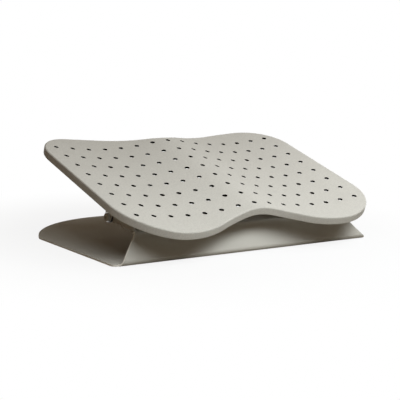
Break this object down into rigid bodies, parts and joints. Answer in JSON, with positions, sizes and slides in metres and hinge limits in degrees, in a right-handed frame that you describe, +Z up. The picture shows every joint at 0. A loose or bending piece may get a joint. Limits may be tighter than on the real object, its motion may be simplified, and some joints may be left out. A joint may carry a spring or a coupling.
{
  "type": "under-desk footrest",
  "caption": "Tilting under-desk footrest: a perforated, wave-shaped foot board with a butterfly outline, hinged with friction on a one-piece bent sheet base.",
  "frame": {"origin": "centre of the bounding box's foot, on the floor, at the stored tilt", "axes": "+X to the user's right across the footrest, +Y from the front wall and low edge of the board to the back, +Z up"},
  "size_m": [0.514, 0.4142, 0.1582],
  "materials": {
    "board_plastic": "fine-textured moulded plastic, warm light greige",
    "base_coating": "matt powder coat, warm greige",
    "rail_coating": "matt powder coat, warm greige",
    "pad_rubber": "matt black rubber",
    "bush_plastic": "black nylon",
    "pivot_steel": "greige-coated screw head, plain shank",
    "bright_steel": "zinc-plated"
  },
  "bodies": {
    "base": {"base_sheet": "base_coating", "foot_pad_front_left": "pad_rubber", "foot_pad_front_right": "pad_rubber", "foot_pad_middle_left": "pad_rubber", "foot_pad_middle_right": "pad_rubber", "foot_pad_back_left": "pad_rubber", "foot_pad_back_right": "pad_rubber", "pivot_screw_left": "pivot_steel", "pivot_screw_right": "pivot_steel", "head_washer_left": "bright_steel", "head_washer_right": "bright_steel", "disc_spring_left": "bright_steel", "disc_spring_right": "bright_steel", "lock_nut_left": "bright_steel", "lock_nut_right": "bright_steel"},
    "foot_board": {"pedal_board": "board_plastic", "hinge_rail": "rail_coating", "rail_screws": "bright_steel", "hinge_bush_left": "bush_plastic", "hinge_bush_right": "bush_plastic", "stop_pad_left": "pad_rubber", "stop_pad_right": "pad_rubber"}
  },
  "joints": [
    {"name": "board_tilt", "type": "hinge", "parent": "base", "child": "foot_board", "pos_m": [0, -0.06139, 0.057], "axis": [1, 0, 0], "range_deg": [-16.5, 7.5]}
  ]
}
